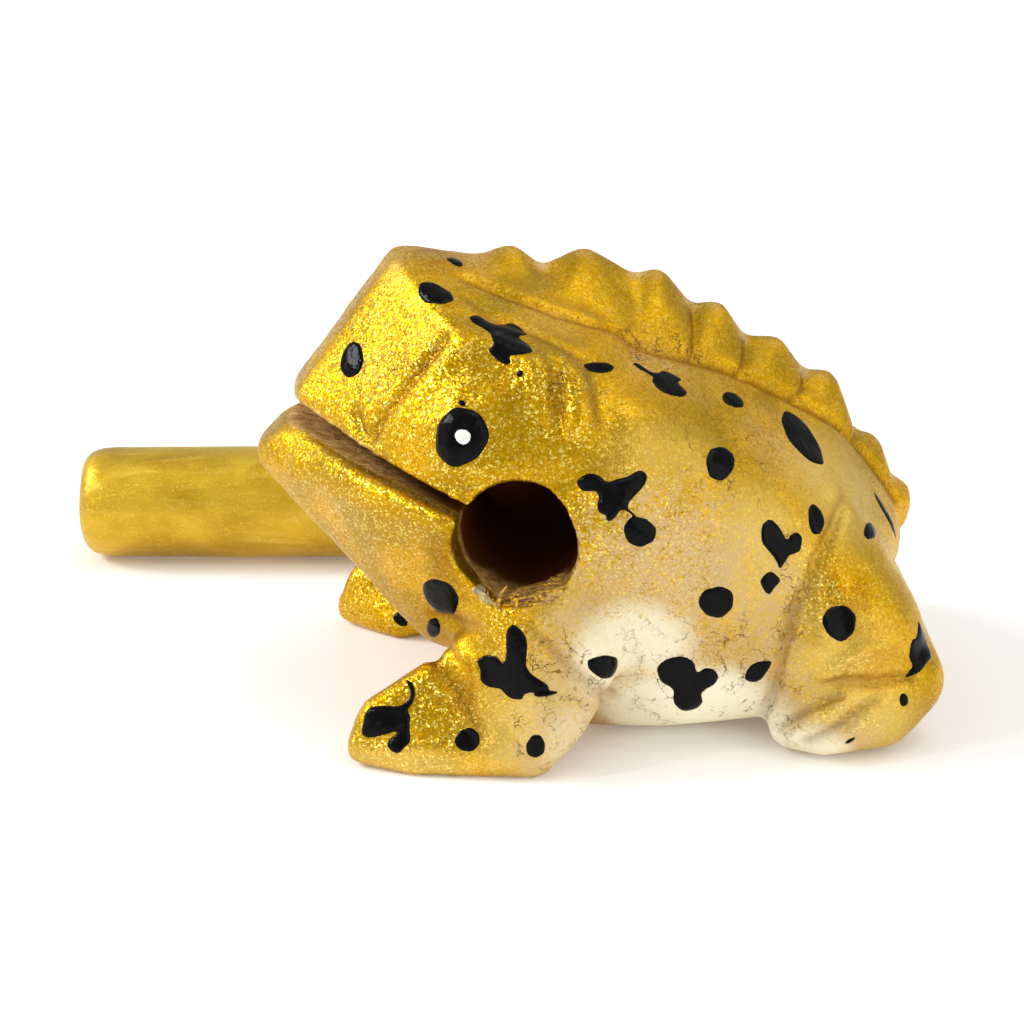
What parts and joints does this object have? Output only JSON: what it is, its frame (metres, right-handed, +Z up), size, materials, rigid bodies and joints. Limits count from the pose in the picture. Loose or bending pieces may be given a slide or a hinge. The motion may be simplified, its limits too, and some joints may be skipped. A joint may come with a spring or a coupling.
{
  "type": "croaking frog percussion toy",
  "caption": "Carved wooden croaking frog with a toothed back ridge, side bores and mouth slit, and a loose turned striker stick lying beside it.",
  "frame": {"origin": "on the ground, at the flat sanded underside of the belly, on the frog's middle line", "axes": "+Z up; the frog faces -Y; its left side is +X and the striker stick lies on its right, at -X"},
  "size_m": [0.0857, 0.1006, 0.0529],
  "materials": {
    "gold_flake_body": "carved wood under metallic gold flake paint with black enamel spots",
    "gold_stick": "turned wood under metallic gold paint"
  },
  "bodies": {
    "frog": {"frog_body": "gold_flake_body"},
    "striker": {"striker_stick": "gold_stick"}
  },
  "joints": [
    {"name": "striker_lift", "type": "slide", "parent": "frog", "child": "striker", "axis": [0, 0, 1], "range_m": [0, 0.08]}
  ]
}
